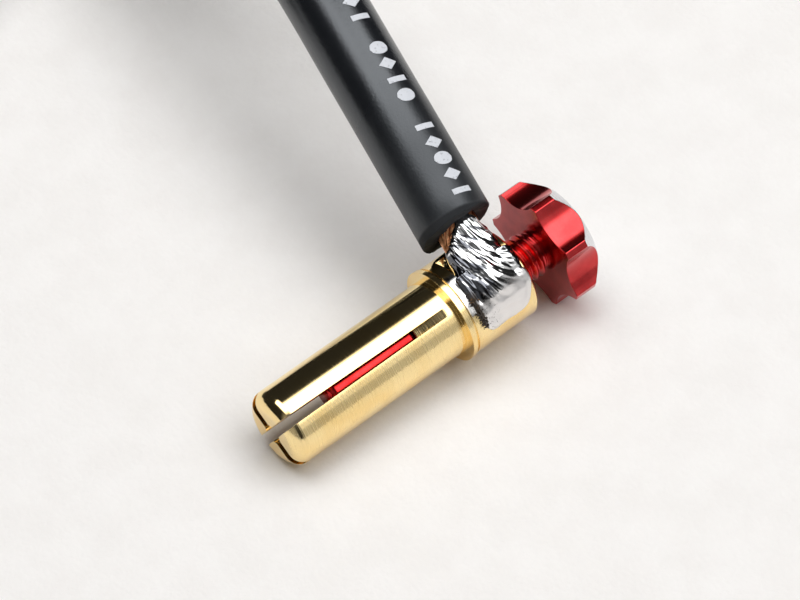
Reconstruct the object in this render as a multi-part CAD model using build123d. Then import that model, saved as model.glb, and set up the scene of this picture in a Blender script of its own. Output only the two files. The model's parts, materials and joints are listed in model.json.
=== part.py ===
from build123d import *
import os
from math import asin, atan2, cos, degrees, hypot, pi, radians, sin, sqrt, tan

# Gold battery lead connector: a split bullet plug with a thumb screw in its bore, soldered to a
# silicone lead that crosses its head. Millimetres. The plug is drawn in a frame of its own, with
# X along its axis from the centre of the tip face to the knob, and is then laid on the ground.

# Barrel, which a socket grips
barrel_d = 5.0
barrel_length = 12.8
nose_radius = 0.9
tip_hole_d = 1.36
nose_wall = 1.6
bore_d = 3.5
bore_depth = 10.2
bore_cone = 0.6

# Saw slots that split the barrel into four prongs
slot_width_root = 0.56
slot_width_tip = 0.70
slot_end = 12.3
saw_d = 16.0
prong_count = 4
slot_turn = 29.7

# Lip and head behind the barrel
lip_d = 6.16
lip_width = 0.32
groove_d = 5.8
groove_width = 0.2
head_d = 6.0
head_length = 4.6
head_chamfer = 0.15

# Trough across the head that takes the bared lead
trough_wall = 0.4
trough_width = 3.5
trough_floor = 1.85

# Thumb screw: scalloped knob, threaded shank and plain pin in one piece
thread_d = 3.0
thread_clearance = 0.05
thread_length = 9.2
thread_chamfer = 0.2
pin_d = 2.6
pin_end = 4.0
pin_cone = 0.4
knob_gap = 2.2
knob_d = 7.9
knob_rim = 1.5
knob_back_depth = 0.9
knob_back_d = 6.2
knob_edge = 0.08
lobe_count = 7
lobe_land = 0.45
scallop_depth = 0.8

# Lead: silicone jacket over a bundle of copper strands
jacket_d = 4.8
strand_d = 2.7
strand_flat_width = 2.8
strand_flat_height = 1.6
strand_lift = 0.05
strand_start = 0.9
strand_neck = 0.12
lead_height = 2.6
lead_rise = 14.0
lead_lean = 11.4
lead_offset = 0.15
jacket_standoff = 0.35
exit_run = 12.0
tinned_length = 6.0

# Solder over the strands
solder_crown = 0.72
solder_skin = 0.14
solder_near_angle = 152.0
solder_far_angle = 52.0
solder_crest_half = 13.0
solder_edge = 0.3

# Put-away hank of the lead, three runs long with the last inside the first, and its tie
hank_run = 52.0
hank_fold_r = 15.5
hank_gap = 0.1
hank_clearance = 0.05
hank_end_gap = 3.0
hank_bevel = 1.4
hank_x = 8.55
hank_y = 53.8
hank_entry_run = 8.3
tie_thickness = 0.35
tie_width = 3.0
tie_place = 30.0

# Route of the lead between its straight start at the plug and its straight run into the hank.
# These points are in the finished part's frame, and are chosen by hand.
route_middle = [
    (8.70, 23.50, 11.05),
    (8.20, 31.30, 9.80),
    (8.10, 38.30, 6.20),
]


# A solid made by turning an outline of (distance along the axis, radius) points about X
def turned(outline):
    return revolve(make_face(Polyline(*outline, close=True)), Axis.X)


# Distances along the axis that several pieces share
head_front = barrel_length + lip_width + groove_width
head_back = head_front + head_length
knob_front = head_back + knob_gap
knob_back = knob_front + knob_rim + knob_back_depth
thread_hole_d = thread_d + 2 * thread_clearance
joint_turn = Rot(lead_rise, 0, 0)


# One saw cut for one prong gap: a wedge along the barrel and the arc that the saw leaves behind
def saw_cut():
    radius_end = barrel_d / 2
    bore_edge = bore_d / 2
    saw_r = saw_d / 2
    run_out = slot_end - bore_depth
    rise = radius_end - bore_edge
    chord = hypot(run_out, rise)
    bow = sqrt(saw_r**2 - chord**2 / 4)
    centre_x = (slot_end + bore_depth) / 2 - bow * rise / chord
    centre_z = (radius_end + bore_edge) / 2 + bow * run_out / chord
    disc = Pos(centre_x, 0, centre_z) * Rot(90, 0, 0) * Cylinder(saw_r, slot_width_root)
    sky = Pos(centre_x, 0, centre_z + saw_r) * Box(3 * saw_d, saw_d, saw_d)
    tip_half = slot_width_tip / 2
    root_half = slot_width_root / 2
    start = -nose_radius
    wedge_outline = Polyline(
        (start, -tip_half), (centre_x, -root_half), (centre_x, root_half), (start, tip_half),
        close=True,
    )
    wedge = extrude(make_face(wedge_outline), barrel_d)
    return (disc - Pos(0, 0, saw_r) * sky) + wedge


# Space that is milled out of the head for the lead, before it is turned to the lead's side
def trough_space():
    across = Box(trough_width, 2 * head_d, head_d, align=(Align.MAX, Align.CENTER, Align.MIN))
    return Pos(head_back - trough_wall, 0, trough_floor) * across


# Turned and plated body: split barrel, lip, head, and the trough that the lead is soldered in
def plug_body():
    r = barrel_d / 2
    outline = [
        (0, tip_hole_d / 2), (0, r), (barrel_length, r),
        (barrel_length, lip_d / 2), (barrel_length + lip_width, lip_d / 2),
        (barrel_length + lip_width, groove_d / 2), (head_front, groove_d / 2),
        (head_front, head_d / 2), (head_back - head_chamfer, head_d / 2),
        (head_back, head_d / 2 - head_chamfer), (head_back, thread_hole_d / 2),
        (bore_depth, thread_hole_d / 2), (bore_depth, bore_d / 2),
        (nose_wall + bore_cone, bore_d / 2), (nose_wall, tip_hole_d / 2),
    ]
    profile = make_face(Polyline(*outline, close=True))
    nose = profile.vertices().sort_by(lambda v: hypot(v.X, v.Y - r))[0]
    # The seam of the turned faces lies midway between two slots
    seam_turn = slot_turn - 180 / prong_count
    body = Rot(seam_turn, 0, 0) * revolve(fillet(nose, nose_radius), Axis.X)
    for index in range(prong_count):
        body -= Rot(slot_turn + index * 360 / prong_count, 0, 0) * saw_cut()
    return body - joint_turn * trough_space()


# Thumb screw. Scallops leave a narrow land on each lobe, and a cone turned on the back meets them
def thumb_knob():
    r = knob_d / 2
    pin_r = pin_d / 2
    thread_r = thread_d / 2
    thread_end = knob_front - thread_length
    screw = turned([
        (pin_end, 0), (pin_end, pin_r - pin_cone), (pin_end + pin_cone, pin_r),
        (thread_end - thread_chamfer, pin_r), (thread_end, thread_r), (knob_front, thread_r),
        (knob_front, r - knob_edge), (knob_front + knob_edge, r), (knob_front + knob_rim, r),
        (knob_back, knob_back_d / 2), (knob_back, 0),
    ])
    half_pitch = pi / lobe_count
    open_half = half_pitch - asin(lobe_land / 2 / r)
    chord_half = r * sin(open_half)
    sagitta = scallop_depth - (r - r * cos(open_half))
    scallop_r = (chord_half**2 + sagitta**2) / (2 * sagitta)
    reach = r - scallop_depth + scallop_r
    width = knob_rim + knob_back_depth
    cutter = Pos(knob_front + width / 2, 0, -reach) * Rot(0, 90, 0) * Cylinder(scallop_r, 2 * width)
    keep_shank = Pos(knob_front, 0, 0) * Box(
        2 * width, 4 * knob_d, 4 * knob_d, align=(Align.MIN, Align.CENTER, Align.CENTER)
    )
    cutter = cutter & keep_shank
    for index in range(lobe_count):
        screw -= Rot(index * 360 / lobe_count, 0, 0) * cutter
    return screw


# Place of the lead on the head: X stays the plug's axis, Z points out of the trough's floor
lead_cross_x = head_back - trough_wall - trough_width / 2 - lead_offset
jacket_start = head_d / 2 + jacket_standoff
lead_axis = joint_turn * Pos(lead_cross_x, 0, lead_height) * Rot(0, 0, -lead_lean) * Rot(-90, 0, 0)


# Bared strands: round at the jacket's end, pressed flat where they lie in the trough
def copper_strands():
    down = lead_height - (trough_floor + strand_lift + strand_flat_height / 2)
    trough_edge = sqrt((head_d / 2) ** 2 - trough_floor**2)
    flat_end = trough_edge / cos(radians(lead_lean)) + strand_neck
    flat_shape = Ellipse(strand_flat_width / 2, strand_flat_height / 2)
    flat = extrude(Pos(0, down, strand_start) * flat_shape, flat_end - strand_start)
    round_end = Pos(0, 0, jacket_start) * Circle(strand_d / 2)
    neck = loft([Pos(0, down, flat_end) * flat_shape, round_end])
    return lead_axis * (flat + neck)


# Solder: fills the trough round the strands and runs over the head's side as a thin skin
def solder_joint():
    r = head_d / 2
    crest = (solder_near_angle + solder_far_angle) / 2

    def at(radius, angle):
        return (radius * cos(radians(angle)), radius * sin(radians(angle)))

    near = at(r + solder_skin, solder_near_angle)
    far = at(r + solder_crown / 2, solder_far_angle)
    crest_near = at(r + solder_crown, crest + solder_crest_half)
    crest_far = at(r + solder_crown, crest - solder_crest_half)
    crown = Spline(near, crest_near, crest_far, far)
    floor_far = (far[0], trough_floor)
    floor_near = (-far[0], trough_floor)
    inside = at(r - 2 * solder_skin, solder_near_angle)
    face = make_face(Curve() + crown + Polyline(far, floor_far, floor_near, inside, near))
    block = Pos(head_back - trough_wall - trough_width, 0, 0) * extrude(Plane.YZ * face, trough_width)
    block = fillet(block.edges().filter_by(GeomType.BSPLINE), solder_edge)
    blank = Rot(0, 90, 0) * Cylinder(r, 2 * head_back, align=(Align.CENTER, Align.CENTER, Align.MIN))
    return joint_turn * (block - (blank - trough_space())) - copper_strands()


# Rest on the ground: the nose's round edge and two lobes of the knob touch it
def resting_place():
    touch = knob_d / 2 * cos(pi / lobe_count - asin(lobe_land / knob_d))
    along = knob_front + knob_edge - nose_radius
    across = touch + nose_radius - barrel_d / 2
    tilt = atan2(across, along) - asin(nose_radius / hypot(along, across))
    height = (barrel_d / 2 - nose_radius) * cos(tilt) + nose_radius * (1 - sin(tilt))
    return Pos(0, 0, height) * Rot(0, -degrees(tilt), 0)


# Lead from the jacket's end to the hank: straight runs joined by the largest arcs they allow
def jacket_tube(points):
    runs = [b - a for a, b in zip(points, points[1:])]
    radii = []
    for before, after in zip(runs, runs[1:]):
        half_turn = radians(before.get_angle(after)) / 2
        radii.append(0.45 * min(before.length, after.length) / tan(half_turn))
    path = FilletPolyline(*points, radius=radii)
    section = Plane(points[0], z_dir=runs[0]) * Circle(jacket_d / 2)
    tube = sweep(section, path=path)
    print("lead route mm", [tuple(round(c, 2) for c in tuple(p)) for p in points])
    print("lead radii mm", [round(r, 1) for r in radii])
    print("lead runs mm", [round(run.length, 1) for run in runs])
    expected = pi * jacket_d**2 / 4 * path.length
    print("lead tube volume over section times length", round(tube.volume / expected, 5))
    print("lead tube length mm", round(path.length, 2))
    return tube


hank_lane = jacket_d + hank_gap
hank_z = tie_thickness + hank_clearance + jacket_d / 2
hank_place = Pos(hank_x, hank_y, hank_z)
hank_last_run = hank_run - tinned_length - hank_end_gap


# Rectangle with its corners cut off
def bevelled(width, height, bevel):
    rectangle = Rectangle(width, height)
    return chamfer(rectangle.vertices(), bevel)


# Hank of the put-away length: out along one side, back along the other, and in beside the first run
def lead_hank():
    near_fold_r = hank_fold_r - hank_lane / 2
    back_x = -2 * hank_fold_r
    path = Curve() + [
        Line((0, 0), (0, hank_run)),
        CenterArc((-hank_fold_r, hank_run), hank_fold_r, 0, 180),
        Line((back_x, hank_run), (back_x, 0)),
        CenterArc((back_x + near_fold_r, 0), near_fold_r, 180, 180),
        Line((-hank_lane, 0), (-hank_lane, hank_last_run)),
    ]
    hank = sweep(Plane.XZ * bevelled(jacket_d, jacket_d, hank_bevel), path=path)
    print("hank length mm", round(path.length, 2))
    return hank_place * hank


# Stripped and tinned far end of the strands, at the end of the hank's last run
def tinned_end():
    stub = extrude(Plane.XZ * Circle(strand_d / 2), -tinned_length)
    return hank_place * Pos(-hank_lane, hank_last_run, 0) * stub


# Flat band round the hank's first and last runs, which lie side by side
def hank_tie():
    inner_width = 2 * jacket_d + hank_gap + 2 * hank_clearance
    inner_height = jacket_d + 2 * hank_clearance
    grow = 2 * tie_thickness
    hole = bevelled(inner_width, inner_height, hank_bevel)
    outside = bevelled(inner_width + grow, inner_height + grow, hank_bevel + tie_thickness)
    band = extrude(Plane.XZ * (outside - hole), tie_width / 2, both=True)
    return hank_place * Pos(-hank_lane / 2, tie_place, 0) * band


own = {
    "plug_body": plug_body(),
    "thumb_knob": thumb_knob(),
    "copper_strands": copper_strands(),
    "solder_joint": solder_joint(),
}
laid = {name: resting_place() * shape for name, shape in own.items()}
boxes = [shape.bounding_box() for shape in laid.values()]
low = Vector(min(b.min.X for b in boxes), min(b.min.Y for b in boxes), min(b.min.Z for b in boxes))
high = Vector(max(b.max.X for b in boxes), max(b.max.Y for b in boxes), max(b.max.Z for b in boxes))
to_origin = Pos(-(low.X + high.X) / 2, -(low.Y + high.Y) / 2, -low.Z)
pieces = {name: to_origin * shape for name, shape in laid.items()}

lead_place = to_origin * resting_place() * lead_axis
exit_point = (lead_place * Pos(0, 0, jacket_start)).position
exit_bend = (lead_place * Pos(0, 0, jacket_start + exit_run)).position
hank_entry = Vector(hank_x, hank_y, hank_z)
entry_bend = hank_entry - Vector(0, hank_entry_run, 0)
route = [exit_point, exit_bend] + [Vector(*p) for p in route_middle] + [entry_bend, hank_entry]
pieces["lead_jacket"] = jacket_tube(route)
pieces["lead_hank"] = lead_hank()
pieces["tinned_end"] = tinned_end()
pieces["hank_tie"] = hank_tie()

os.makedirs("parts", exist_ok=True)
for name, shape in pieces.items():
    export_step(shape, f"parts/{name}.step")

tip_centre = (to_origin * resting_place()).position
plug_axis = (to_origin * resting_place() * Pos(1, 0, 0)).position - tip_centre
print("centre of the tip face mm", tip_centre)
print("plug axis", plug_axis)
print("jacket end mm", exit_point)
print("lead direction", (exit_bend - exit_point).normalized())
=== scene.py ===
"""Looks of a gold battery lead connector: a split bullet plug with a thumb screw, on a silicone lead.

Meshes are built in millimetres in the plug's own frame, with X along its axis from the middle of the
tip face to the knob, and are then laid in the shared frame, which is in metres.
"""
import json
import logging
from dataclasses import dataclass
from enum import Enum
from math import asin, atan2, cos, degrees, exp, hypot, pi, radians, sin, sqrt, tan
from typing import Iterable, Optional, Sequence, Union

import bmesh
import bpy
import numpy as np
from mathutils import Matrix, Vector, noise

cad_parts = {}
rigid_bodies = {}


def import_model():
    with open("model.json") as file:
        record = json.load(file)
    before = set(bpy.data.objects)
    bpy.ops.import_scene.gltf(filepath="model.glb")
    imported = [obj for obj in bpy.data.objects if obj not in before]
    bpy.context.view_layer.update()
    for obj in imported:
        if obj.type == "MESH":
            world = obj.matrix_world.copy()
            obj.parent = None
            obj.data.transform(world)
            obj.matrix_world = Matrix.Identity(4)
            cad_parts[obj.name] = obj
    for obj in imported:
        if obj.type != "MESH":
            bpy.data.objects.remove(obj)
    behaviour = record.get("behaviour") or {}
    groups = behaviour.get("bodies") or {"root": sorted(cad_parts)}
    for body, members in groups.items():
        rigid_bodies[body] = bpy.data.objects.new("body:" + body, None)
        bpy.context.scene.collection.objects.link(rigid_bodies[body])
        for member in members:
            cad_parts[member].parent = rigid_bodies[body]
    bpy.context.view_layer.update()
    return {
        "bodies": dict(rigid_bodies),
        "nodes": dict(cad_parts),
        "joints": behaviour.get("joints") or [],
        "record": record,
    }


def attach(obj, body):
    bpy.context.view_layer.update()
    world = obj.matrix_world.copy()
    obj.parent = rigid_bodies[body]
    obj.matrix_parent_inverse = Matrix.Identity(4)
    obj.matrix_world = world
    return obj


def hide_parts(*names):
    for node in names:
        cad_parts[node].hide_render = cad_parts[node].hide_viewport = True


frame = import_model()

MM = 0.001
PLUG = "plug"
SCREW = "thumb_screw"
BUNDLE_FROM = 1.0        # distance of the strands' inner end from the plug's axis, in millimetres
TINNED_OVERLAP = 0.9     # length of the tinned strands inside the jacket, in millimetres
LOG = logging.getLogger("lead_connector")
SOCKET_TYPES = {float: "NodeSocketFloat", int: "NodeSocketInt", bpy.types.Material: "NodeSocketMaterial"}


class Sock:
    """An output socket of a node tree that Python operators combine into Math nodes."""

    def __init__(self, tree: "Tree", socket: bpy.types.NodeSocket) -> None:
        """Wraps a socket.

        Args:
            tree: The tree that new nodes go into.
            socket: The output socket.
        """
        self.tree = tree
        self.socket = socket

    def math(self, operation: str, *others: "Value") -> "Sock":
        """Adds a Math node with this socket first.

        Args:
            operation: The Math node's operation.
            others: Its other inputs, in order.

        Returns:
            The node's result.
        """
        return self.tree.add("ShaderNodeMath", {"operation": operation}, [self, *others])

    def __add__(self, other: "Value") -> "Sock":
        """Sum."""
        return self.math("ADD", other)

    __radd__ = __add__

    def __sub__(self, other: "Value") -> "Sock":
        """Difference."""
        return self.math("SUBTRACT", other)

    def __rsub__(self, other: "Value") -> "Sock":
        """Difference with this socket second."""
        return self.tree.add("ShaderNodeMath", {"operation": "SUBTRACT"}, [other, self])

    def __mul__(self, other: "Value") -> "Sock":
        """Product."""
        return self.math("MULTIPLY", other)

    __rmul__ = __mul__

    def __truediv__(self, other: "Value") -> "Sock":
        """Quotient."""
        return self.math("DIVIDE", other)

    def __abs__(self) -> "Sock":
        """This value without its sign."""
        return self.math("ABSOLUTE")

    def __neg__(self) -> "Sock":
        """Negative."""
        return self.math("MULTIPLY", -1.0)

    def step(self, low: float, high: float) -> "Sock":
        """Smooth step.

        Args:
            low: Where it is 0.
            high: Where it is 1, which may be below low.

        Returns:
            A mask from 0 to 1.
        """
        settings = {"interpolation_type": "SMOOTHSTEP"}
        inputs = {"Value": self, "From Min": low, "From Max": high, "To Min": 0.0, "To Max": 1.0}
        return self.tree.add("ShaderNodeMapRange", settings, inputs)


Value = Union[Sock, float, int, Sequence[float]]


class Tree:
    """A node tree, with one method that adds any node."""

    def __init__(self, tree: bpy.types.NodeTree) -> None:
        """Wraps a node tree and empties it."""
        self.tree = tree
        tree.nodes.clear()

    def put(self, socket: bpy.types.NodeSocket, value: Value) -> None:
        """Links or sets one input socket.

        Args:
            socket: The input socket.
            value: A wrapped output, a number, or a colour or vector.
        """
        if isinstance(value, Sock):
            self.tree.links.new(value.socket, socket)
        elif socket.type == "RGBA" and len(value) == 3:
            socket.default_value = (*value, 1.0)
        else:
            socket.default_value = value

    def add(
        self,
        kind: str,
        settings: Optional[dict] = None,
        inputs: Union[dict, Sequence, None] = None,
        output: Union[int, str] = 0,
    ) -> Sock:
        """Adds a node.

        Args:
            kind: The node's type.
            settings: Its own settings, which are set first.
            inputs: Values or links, by socket name or index, or in order.
            output: Which output to return.

        Returns:
            The output, wrapped.
        """
        node = self.tree.nodes.new(kind)
        for name, value in (settings or {}).items():
            setattr(node, name, value)
        pairs = inputs.items() if isinstance(inputs, dict) else enumerate(inputs or [])
        for key, value in pairs:
            self.put(node.inputs[key], value)
        if not node.outputs:
            return Sock(self, None)
        return Sock(self, node.outputs[output])

    def mix(self, factor: Value, a: Value, b: Value) -> Sock:
        """Mixes two colours.

        Args:
            factor: 0 gives a, and 1 gives b.
            a: The first colour.
            b: The second colour.

        Returns:
            The mixed colour.
        """
        return self.add("ShaderNodeMix", {"data_type": "RGBA"}, {0: factor, 6: a, 7: b}, 2)

    def noise(self, vector: Sock, scale: float, detail: float = 2.0, rough: float = 0.5) -> Sock:
        """Noise over a vector, from 0 to 1.

        Args:
            vector: Coordinates.
            scale: Features for each unit.
            detail: Octaves.
            rough: Strength of the finer octaves.

        Returns:
            The noise.
        """
        inputs = {"Vector": vector, "Scale": scale, "Detail": detail, "Roughness": rough}
        return self.add("ShaderNodeTexNoise", None, inputs)

    def line_noise(self, value: Sock, scale: float, detail: float = 2.0) -> Sock:
        """Noise along one value, from 0 to 1.

        Args:
            value: The coordinate.
            scale: Features for each unit.
            detail: Octaves.

        Returns:
            The noise.
        """
        inputs = {"W": value, "Scale": scale, "Detail": detail}
        return self.add("ShaderNodeTexNoise", {"noise_dimensions": "1D"}, inputs)

    def vector(self, x: Value, y: Value, z: Value) -> Sock:
        """Joins three values into a vector."""
        return self.add("ShaderNodeCombineXYZ", None, [x, y, z])

    def parts(self, vector: Sock) -> tuple[Sock, Sock, Sock]:
        """Splits a vector.

        Args:
            vector: The vector.

        Returns:
            Its three values.
        """
        node = self.tree.nodes.new("ShaderNodeSeparateXYZ")
        self.put(node.inputs[0], vector)
        return tuple(Sock(self, out) for out in node.outputs)

    def bump(self, height: Value, depth: float, normal: Optional[Sock] = None) -> Sock:
        """Bump from a height.

        Args:
            height: Height from 0 to 1.
            depth: Its size in millimetres.
            normal: A bump that this one goes on top of.

        Returns:
            The normal.
        """
        inputs = {"Height": height, "Distance": depth * MM, "Strength": 1.0}
        if normal is not None:
            inputs["Normal"] = normal
        return self.add("ShaderNodeBump", None, inputs)


@dataclass(frozen=True)
class PlugFrame:
    """Where the plug lies: the middle of its tip face in metres, and the tilt of its axis in radians."""

    tip: Vector
    tilt: float

    @classmethod
    def from_frame(cls, loaded: dict) -> "PlugFrame":
        """Reads the axis from the barrel's mount, and the tip face from the body's solid.


        Returns:
            The plug's frame.
        """
        mount = next(m for m in loaded["record"]["mounts"] if m["name"] == "barrel")
        axis = -Vector(mount["axis"]).normalized()
        point = Vector(mount["pos_m"])
        corners = loaded["nodes"]["plug_body"].data.vertices
        start = min((v.co - point).dot(axis) for v in corners)
        return cls(point + axis * start, atan2(axis.z, axis.x))

    def matrix(self) -> Matrix:
        """Matrix from the plug's frame in millimetres to the shared frame in metres."""
        turn = Matrix.Rotation(-self.tilt, 4, "Y")
        return Matrix.Translation(self.tip) @ turn @ Matrix.Scale(MM, 4)

    def coordinates(self, tree: Tree) -> tuple[Sock, Sock, Sock]:
        """Adds nodes that give the plug's own coordinates in millimetres.

        Args:
            tree: A material's tree.

        Returns:
            Distance along the axis, and the two directions across it.
        """
        turn = Matrix.Rotation(self.tilt, 3, "Y")
        place = -(turn @ self.tip) / MM
        source = tree.add("ShaderNodeTexCoord", None, None, "Object")
        inputs = {
            "Vector": source,
            "Location": place,
            "Rotation": (0.0, self.tilt, 0.0),
            "Scale": (1 / MM, 1 / MM, 1 / MM),
        }
        return tree.parts(tree.add("ShaderNodeMapping", {"vector_type": "POINT"}, inputs))

    def polar(self, tree: Tree) -> tuple[Sock, Sock, Sock]:
        """Adds nodes that give the plug's round coordinates.

        Args:
            tree: A material's tree.

        Returns:
            Distance along the axis, angle about it in degrees, and radius.
        """
        along, across, up = self.coordinates(tree)
        angle = up.math("ARCTAN2", across) * degrees(1)
        radius = (across * across + up * up).math("SQRT")
        return along, angle, radius


@dataclass(frozen=True)
class Finish:
    """A surface finish that is made into a material. Lengths in it are in millimetres."""

    plug: PlugFrame

    def shade(self, tree: Tree) -> dict[str, Value]:
        """Adds the finish's nodes.

        Args:
            tree: The material's tree.

        Returns:
            The shader's inputs, by name.
        """
        raise NotImplementedError

    def material(self) -> bpy.types.Material:
        """Builds the material.

        Returns:
            The material, named after the class.
        """
        made = bpy.data.materials.new(type(self).__name__)
        made.use_nodes = True
        tree = Tree(made.node_tree)
        shader = tree.add("ShaderNodeBsdfPrincipled", None, self.shade(tree))
        tree.add("ShaderNodeOutputMaterial", None, {"Surface": shader})
        return made

    def place(self, tree: Tree) -> Sock:
        """Adds nodes that give object coordinates.

        Args:
            tree: The material's tree.

        Returns:
            The coordinates, in millimetres.
        """
        source = tree.add("ShaderNodeTexCoord", None, None, "Object")
        inputs = {"Vector": source, "Scale": (1 / MM, 1 / MM, 1 / MM)}
        return tree.add("ShaderNodeMapping", None, inputs)


@dataclass(frozen=True)
class GoldPlate(Finish):
    """Gold plate over turned brass, with a tinned smear on the head's front ring."""

    colour: tuple[float, float, float] = (0.96, 0.75, 0.38)
    deep: tuple[float, float, float] = (0.92, 0.66, 0.28)
    tin: tuple[float, float, float] = (0.80, 0.79, 0.77)
    dull_tin: tuple[float, float, float] = (0.30, 0.29, 0.28)
    smear_from: float = 13.33
    smear_to: float = 14.02
    smear_low: float = 84.0
    smear_high: float = 146.0
    smear_inner_r: float = 2.7
    rubbed_from: float = 104.0
    rubbed_full: float = 124.0
    least_rubbed: float = 0.18

    def shade(self, tree: Tree) -> dict[str, Value]:
        """Turning marks round the axis, a little colour change, and the smear.

        Args:
            tree: The material's tree.

        Returns:
            The shader's inputs, by name.
        """
        along, angle, radius = self.plug.polar(tree)
        cloud = tree.noise(self.place(tree), 0.35, 2.0)
        marks = tree.line_noise(along, 9.0, 4.0)
        face_marks = tree.line_noise(radius, 11.0, 3.0)
        ring = along.step(self.smear_from - 0.02, self.smear_from + 0.05)
        ring = ring * along.step(self.smear_to + 0.5, self.smear_to + 0.1)
        sector = angle.step(self.smear_low, self.smear_low + 6)
        wobble = cloud * 12.0 + angle
        sector = sector * wobble.step(self.smear_high + 4, self.smear_high)
        smear = ring * sector * radius.step(self.smear_inner_r, self.smear_inner_r + 0.15)
        colour = tree.mix(cloud.step(0.35, 0.7), self.colour, self.deep)
        worn = tree.noise(self.place(tree), 2.2, 3.0)
        tin = tree.mix(worn.step(0.48, 0.62), self.tin, self.dull_tin)
        colour = tree.mix(smear, colour, tin)
        rubbed = self.least_rubbed + (1 - self.least_rubbed) * angle.step(self.rubbed_from, self.rubbed_full)
        rough = 0.07 + marks.step(0.36, 0.66) * rubbed * 0.20 + worn * 0.04 - smear * 0.04
        normal = tree.bump(marks * rubbed, 0.008)
        normal = tree.bump(face_marks, 0.0035, normal)
        return {"Base Color": colour, "Metallic": 1.0, "Roughness": rough, "Normal": normal}


@dataclass(frozen=True)
class RedAnodised(Finish):
    """Red dye under a clear anodised skin on turned and milled aluminium."""

    colour: tuple[float, float, float] = (0.58, 0.027, 0.028)
    deep: tuple[float, float, float] = (0.44, 0.010, 0.012)
    shank_coat: float = 0.15
    knob_coat: float = 0.65
    coat_from: float = 17.6
    coat_full: float = 20.4

    def shade(self, tree: Tree) -> dict[str, Value]:
        """Fine tool marks and a slight change of the dye.

        Args:
            tree: The material's tree.

        Returns:
            The shader's inputs, by name.
        """
        along, _, radius = self.plug.polar(tree)
        place = self.place(tree)
        cloud = tree.noise(place, 0.8, 2.0)
        marks = tree.line_noise(along, 8.0, 3.0)
        rings = tree.line_noise(radius, 7.0, 3.0)
        grain = tree.noise(place, 24.0, 2.0)
        colour = tree.mix(cloud.step(0.3, 0.7), self.colour, self.deep)
        normal = tree.bump(marks, 0.004)
        normal = tree.bump(rings, 0.0025, normal)
        normal = tree.bump(grain, 0.0012, normal)
        more = self.knob_coat - self.shank_coat
        return {
            "Base Color": colour,
            "Metallic": 1.0,
            "Roughness": 0.16 + cloud * 0.08,
            "Coat Weight": self.shank_coat + along.step(self.coat_from, self.coat_full) * more,
            "Coat Roughness": 0.10,
            "Normal": normal,
        }


@dataclass(frozen=True)
class BareAluminium(Finish):
    """Aluminium turned after it was dyed, with the marks of the tool."""

    colour: tuple[float, float, float] = (0.78, 0.78, 0.80)

    def shade(self, tree: Tree) -> dict[str, Value]:
        """Rings of the turning tool.

        Args:
            tree: The material's tree.

        Returns:
            The shader's inputs, by name.
        """
        _, _, radius = self.plug.polar(tree)
        rings = tree.line_noise(radius, 9.0, 3.0)
        rough = 0.22 + rings * 0.12
        normal = tree.bump(rings, 0.0016)
        return {"Base Color": self.colour, "Metallic": 1.0, "Roughness": rough, "Normal": normal}


@dataclass(frozen=True)
class Solder(Finish):
    """Bright solder, matt where it froze last, with burnt flux at its front edge."""

    bright: tuple[float, float, float] = (0.86, 0.86, 0.86)
    matt: tuple[float, float, float] = (0.80, 0.78, 0.77)
    flux: tuple[float, float, float] = (0.045, 0.028, 0.014)
    # dark is the colour of the painted reflections: dark streaks over the bundle's solder, placed by the
    # reflection fields below
    dark: tuple[float, float, float] = (0.13, 0.135, 0.15)
    reflection_turn: float = 30.0
    reflection_middle: float = 15.8
    reflection_line: float = 16.2
    reflection_end: float = 1.9
    matt_angle: float = 130.0
    flux_edge: float = 14.02
    flux_from: float = 112.0
    flux_full: float = 130.0
    pits_from: float = 15.3
    pits_full: float = 14.6

    def shade(self, tree: Tree) -> dict[str, Value]:
        """Bright and matt metal, painted dark reflections in streaks over the bundle, and flux, parted by
        where they lie.

        Args:
            tree: The material's tree.

        Returns:
            The shader's inputs, by name.
        """
        along, angle, _ = self.plug.polar(tree)
        place = self.place(tree)
        cloud = tree.noise(place, 1.3, 3.0)
        fine = tree.noise(place, 9.0, 3.0, 0.6)
        ragged = cloud * 26.0 - 13.0 + angle
        matt = ragged.step(self.matt_angle - 5, self.matt_angle + 6)
        edge = along + cloud * 0.7 - 0.35 + fine * 0.3 - 0.15
        front = edge.step(self.flux_edge + 0.06, self.flux_edge - 0.04)
        front = front * angle.step(self.flux_from, self.flux_full)
        pits = fine.step(0.58, 0.68) * along.step(self.pits_from, self.pits_full)
        pits = pits * angle.step(self.flux_from, self.flux_full - 6)
        burnt = (front + pits * 0.9).math("MINIMUM", 1.0)
        # painted reflection: dark streaks stretched along the ridges stand in for the dark surroundings
        # mirrored in the bundle's solder
        _, beside, _ = self.plug.coordinates(tree)
        turn = radians(self.reflection_turn)
        across, down = along - self.reflection_middle, -beside
        over, run = across * cos(turn) - down * sin(turn), across * sin(turn) + down * cos(turn)
        painted_reflection = tree.noise(tree.vector(over * 2.6, run * 0.6, 0.0), 1.0, 3.0, 0.55)
        share = 0.60 - 0.13 * abs(along - self.reflection_line)
        dark = (painted_reflection - share).step(0.0, 0.10) * beside.step(self.reflection_end + 0.6, self.reflection_end)
        bright = tree.mix(dark, self.bright, self.dark)
        colour = tree.mix(matt, bright, self.matt)
        colour = tree.mix(burnt, colour, self.flux)
        rough = 0.035 + matt * 0.27 + burnt * 0.12
        normal = tree.bump(tree.noise(place, 34.0, 3.0), 0.0012)
        return {"Base Color": colour, "Metallic": 1.0 - burnt * 0.9, "Roughness": rough, "Normal": normal}


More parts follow.
